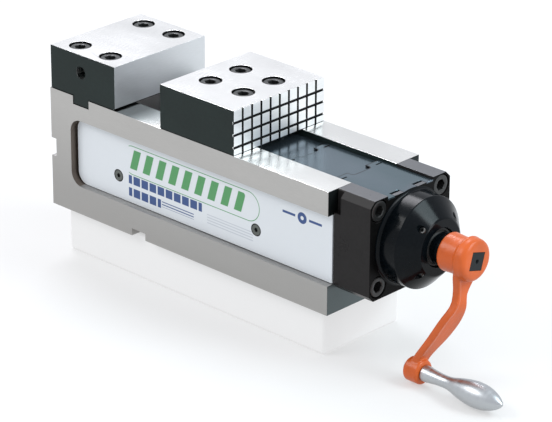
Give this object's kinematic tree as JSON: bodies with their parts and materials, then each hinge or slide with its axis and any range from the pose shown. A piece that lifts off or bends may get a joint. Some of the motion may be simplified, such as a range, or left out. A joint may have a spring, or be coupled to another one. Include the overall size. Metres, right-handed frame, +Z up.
{
  "type": "machine vise",
  "caption": "Machine vise with a long hollow bed, bolted fixed jaw, screw-driven sliding jaw, telescoping cover plates and an offset hand crank.",
  "frame": {"origin": "centre of the bed's flat bottom face", "axes": "+X along the spindle towards the hand crank, +Y to the left seen from the crank's side looking at the vise from behind the fixed jaw, +Z up out of the rail tops"},
  "size_m": [0.4501, 0.1, 0.1747],
  "materials": {
    "ground_steel": "ground, satin, slightly warm",
    "black_oxide": "black oxide, satin, with bright ground faces on the jaws",
    "screw_black": "black oxide screws with worn bright rims",
    "plate_enamel": null,
    "cover_steel": "hardened blued sheet, smooth",
    "polished_steel": "polished",
    "bronze": "machined bronze",
    "seal_rubber": "black lip seal",
    "crank_enamel": "orange stove enamel, satin gloss"
  },
  "bodies": {
    "base": {"bearing_cap": "black_oxide", "bed": "ground_steel", "cap_set_screw_1": "screw_black", "cap_set_screw_2": "screw_black", "cap_set_screw_3": "screw_black", "cap_set_screw_4": "screw_black", "fixed_jaw": "black_oxide", "fixed_jaw_screw_1": "screw_black", "fixed_jaw_screw_2": "screw_black", "fixed_jaw_screw_3": "screw_black", "fixed_jaw_screw_4": "screw_black", "front_cover": "cover_steel", "front_housing": "black_oxide", "housing_screw_1": "screw_black", "housing_screw_2": "screw_black", "housing_screw_3": "screw_black", "housing_screw_4": "screw_black", "shaft_seal": "seal_rubber", "side_plate_far": "plate_enamel", "side_plate_near": "plate_enamel", "side_plate_screw_far_1": "screw_black", "side_plate_screw_far_2": "screw_black", "side_plate_screw_near_1": "screw_black", "side_plate_screw_near_2": "screw_black", "thrust_front_race": "polished_steel", "thrust_rear_race": "polished_steel", "thrust_roller_cage": "polished_steel"},
    "slide": {"carriage": "ground_steel", "cover_screw_1": "screw_black", "cover_screw_2": "screw_black", "jaw_key": "polished_steel", "moving_jaw": "black_oxide", "moving_jaw_screw_1": "screw_black", "moving_jaw_screw_2": "screw_black", "moving_jaw_screw_3": "screw_black", "moving_jaw_screw_4": "screw_black", "nut_screw_1": "screw_black", "nut_screw_2": "screw_black", "rear_cover": "cover_steel", "spindle_nut": "bronze"},
    "middle_cover": {"middle_cover": "cover_steel"},
    "spindle": {"disc_springs": "polished_steel", "drive_shaft": "ground_steel", "lead_screw": "polished_steel", "shaft_collar": "screw_black", "unit_barrel": "ground_steel", "unit_piston": "polished_steel"},
    "crank": {"crank_arm": "crank_enamel", "grip_pin": "polished_steel"},
    "grip": {"grip": "polished_steel"}
  },
  "joints": [
    {"name": "crank_spin", "type": "hinge", "parent": "base", "child": "spindle", "pos_m": [0.1, 0, 0.0605], "axis": [1, 0, 0], "range_deg": [-3600, 3600]},
    {"name": "jaw_slide", "type": "slide", "parent": "base", "child": "slide", "axis": [1, 0, 0], "range_m": [-0.05, 0.05]},
    {"name": "middle_cover_slide", "type": "slide", "parent": "base", "child": "middle_cover", "axis": [1, 0, 0], "range_m": [-0.0226, 0.0226]},
    {"name": "crank_pull", "type": "slide", "parent": "spindle", "child": "crank", "axis": [1, 0, 0], "range_m": [0, 0.027]},
    {"name": "grip_spin", "type": "hinge", "parent": "crank", "child": "grip", "pos_m": [0.24, -0.0261, -0.02876], "axis": [1, 0, 0], "continuous": true}
  ],
  "couplings": [
    {"joint": "jaw_slide", "follows": "crank_spin", "m_per_rad": 0.00079577},
    {"joint": "middle_cover_slide", "follows": "crank_spin", "m_per_rad": 0.0003581}
  ]
}
